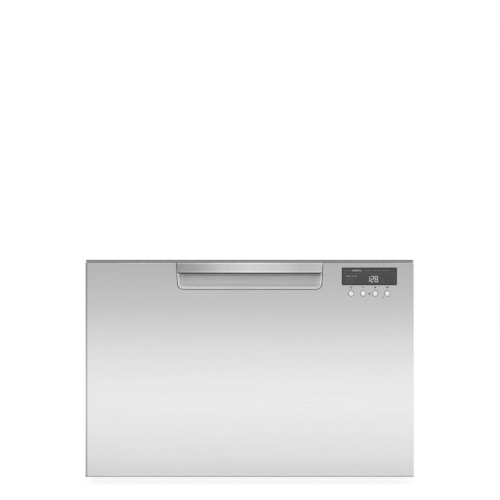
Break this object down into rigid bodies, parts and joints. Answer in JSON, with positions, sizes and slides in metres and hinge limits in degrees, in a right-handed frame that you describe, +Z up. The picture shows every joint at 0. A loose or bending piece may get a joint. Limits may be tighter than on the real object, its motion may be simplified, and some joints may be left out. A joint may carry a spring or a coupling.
{
  "type": "dishwasher drawer",
  "caption": "Built-in drawer dishwasher with a steel front, recessed handle bar, display and round keys; a tub on runners slides out of a chassis under a lid.",
  "frame": {"origin": "on the floor, under the middle of the whole box", "axes": "+X to the right across the front panel, -Y out of the front, +Z up"},
  "size_m": [0.599, 0.573, 0.41],
  "materials": {
    "brushed_panel": "brushed",
    "bar_steel": "brushed",
    "button_steel": "satin",
    "stainless": "satin",
    "galvanised": "matt",
    "coated_wire": "satin",
    "grey_plastic": "matt",
    "dark_plastic": "matt",
    "black_plastic": "matt",
    "tub_plastic": "satin",
    "white_plastic": "satin",
    "rubber": "matt",
    "display_glass": "gloss"
  },
  "bodies": {
    "chassis": {"right_lid_guide": "galvanised", "left_lid_guide": "galvanised", "right_lid_actuator": "black_plastic", "left_lid_actuator": "black_plastic", "base_pan": "galvanised", "right_side_panel": "galvanised", "left_side_panel": "galvanised", "rear_panel": "galvanised", "front_top_brace": "galvanised", "rear_top_brace": "galvanised", "right_outer_runner": "galvanised", "left_outer_runner": "galvanised", "right_side_trim": "rubber", "left_side_trim": "rubber", "inlet_valve": "white_plastic", "drain_outlet": "grey_plastic", "mains_gland": "black_plastic", "flood_switch": "white_plastic", "hose_link": "dark_plastic"},
    "drawer": {"front_skin": "brushed_panel", "front_top_cap": "dark_plastic", "front_inner_frame": "grey_plastic", "handle_pocket": "grey_plastic", "handle_bar": "bar_steel", "display_lens": "display_glass", "control_module": "black_plastic", "tub": "tub_plastic", "filter_plate": "grey_plastic", "wash_motor": "black_plastic", "heater_plate": "stainless", "detergent_dispenser": "grey_plastic", "right_inner_runner": "galvanised", "left_inner_runner": "galvanised", "dish_rack": "coated_wire", "cutlery_basket": "grey_plastic"},
    "lid": {"lid": "tub_plastic", "lid_seal": "rubber"},
    "right_middle_runner": {"right_middle_runner": "galvanised"},
    "left_middle_runner": {"left_middle_runner": "galvanised"},
    "right_cam_slide": {"right_cam_slide": "stainless"},
    "left_cam_slide": {"left_cam_slide": "stainless"},
    "spray_arm": {"spray_arm": "grey_plastic"},
    "wash_rotor": {"wash_rotor": "white_plastic"},
    "drain_filter": {"drain_filter": "dark_plastic"},
    "dispenser_door": {"dispenser_door": "white_plastic"},
    "rinse_aid_cap": {"rinse_aid_cap": "dark_plastic"},
    "right_cup_rack": {"right_cup_rack": "coated_wire"},
    "left_cup_rack": {"left_cup_rack": "coated_wire"},
    "front_tine_row": {"front_tine_row": "coated_wire"},
    "rear_tine_row": {"rear_tine_row": "coated_wire"},
    "power_button": {"power_button": "button_steel"},
    "programme_button": {"programme_button": "button_steel"},
    "option_button": {"option_button": "button_steel"},
    "start_button": {"start_button": "button_steel"},
    "front_left_foot": {"front_left_foot": "black_plastic"},
    "rear_left_foot": {"rear_left_foot": "black_plastic"},
    "front_right_foot": {"front_right_foot": "black_plastic"},
    "rear_right_foot": {"rear_right_foot": "black_plastic"}
  },
  "joints": [
    {"name": "drawer_slide", "type": "slide", "parent": "chassis", "child": "drawer", "axis": [0, -1, 0], "range_m": [0, 0.48], "deforming": ["hose_link"]},
    {"name": "right_middle_runner_slide", "type": "slide", "parent": "chassis", "child": "right_middle_runner", "axis": [0, -1, 0], "range_m": [0, 0.24]},
    {"name": "left_middle_runner_slide", "type": "slide", "parent": "chassis", "child": "left_middle_runner", "axis": [0, -1, 0], "range_m": [0, 0.24]},
    {"name": "lid_drop", "type": "slide", "parent": "chassis", "child": "lid", "axis": [0, 0, -1], "range_m": [0, 0.012]},
    {"name": "right_cam_slide_travel", "type": "slide", "parent": "chassis", "child": "right_cam_slide", "axis": [0, 1, 0], "range_m": [0, 0.024]},
    {"name": "left_cam_slide_travel", "type": "slide", "parent": "chassis", "child": "left_cam_slide", "axis": [0, 1, 0], "range_m": [0, 0.024]},
    {"name": "power_button_press", "type": "slide", "parent": "drawer", "child": "power_button", "axis": [0, 1, 0], "range_m": [0, 0.0008], "stiffness_N_per_m": 1500},
    {"name": "programme_button_press", "type": "slide", "parent": "drawer", "child": "programme_button", "axis": [0, 1, 0], "range_m": [0, 0.0008], "stiffness_N_per_m": 1500},
    {"name": "option_button_press", "type": "slide", "parent": "drawer", "child": "option_button", "axis": [0, 1, 0], "range_m": [0, 0.0008], "stiffness_N_per_m": 1500},
    {"name": "start_button_press", "type": "slide", "parent": "drawer", "child": "start_button", "axis": [0, 1, 0], "range_m": [0, 0.0008], "stiffness_N_per_m": 1500},
    {"name": "spray_arm_spin", "type": "hinge", "parent": "drawer", "child": "spray_arm", "pos_m": [0, 0, 0.098], "axis": [0, 0, 1], "continuous": true},
    {"name": "wash_rotor_spin", "type": "hinge", "parent": "drawer", "child": "wash_rotor", "pos_m": [0, 0, 0.0695], "axis": [0, 0, 1], "continuous": true},
    {"name": "drain_filter_turn", "type": "hinge", "parent": "drawer", "child": "drain_filter", "pos_m": [0.07, 0, 0.07], "axis": [0, 0, 1], "range_deg": [0, 90]},
    {"name": "dispenser_door_slide", "type": "slide", "parent": "drawer", "child": "dispenser_door", "axis": [-1, 0, 0], "range_m": [0, 0.048]},
    {"name": "rinse_aid_cap_turn", "type": "hinge", "parent": "drawer", "child": "rinse_aid_cap", "pos_m": [-0.007, -0.2264, 0.29], "axis": [0, 1, 0], "range_deg": [-90, 0]},
    {"name": "right_cup_rack_fold", "type": "hinge", "parent": "drawer", "child": "right_cup_rack", "pos_m": [0.2354, 0, 0.222], "axis": [0, 1, 0], "range_deg": [0, 85]},
    {"name": "left_cup_rack_fold", "type": "hinge", "parent": "drawer", "child": "left_cup_rack", "pos_m": [-0.2354, 0, 0.222], "axis": [0, -1, 0], "range_deg": [0, 85]},
    {"name": "front_tine_row_fold", "type": "hinge", "parent": "drawer", "child": "front_tine_row", "pos_m": [0, -0.07, 0.134], "axis": [-1, 0, 0], "range_deg": [0, 88]},
    {"name": "rear_tine_row_fold", "type": "hinge", "parent": "drawer", "child": "rear_tine_row", "pos_m": [0, 0.05, 0.134], "axis": [-1, 0, 0], "range_deg": [0, 88]},
    {"name": "front_left_foot_screw", "type": "slide", "parent": "chassis", "child": "front_left_foot", "axis": [0, 0, -1], "range_m": [0, 0.02]},
    {"name": "rear_left_foot_screw", "type": "slide", "parent": "chassis", "child": "rear_left_foot", "axis": [0, 0, -1], "range_m": [0, 0.02]},
    {"name": "front_right_foot_screw", "type": "slide", "parent": "chassis", "child": "front_right_foot", "axis": [0, 0, -1], "range_m": [0, 0.02]},
    {"name": "rear_right_foot_screw", "type": "slide", "parent": "chassis", "child": "rear_right_foot", "axis": [0, 0, -1], "range_m": [0, 0.02]}
  ],
  "couplings": [
    {"joint": "right_middle_runner_slide", "follows": "drawer_slide", "ratio": 0.5},
    {"joint": "left_middle_runner_slide", "follows": "drawer_slide", "ratio": 0.5},
    {"joint": "right_cam_slide_travel", "follows": "lid_drop", "ratio": 2},
    {"joint": "left_cam_slide_travel", "follows": "lid_drop", "ratio": 2}
  ]
}
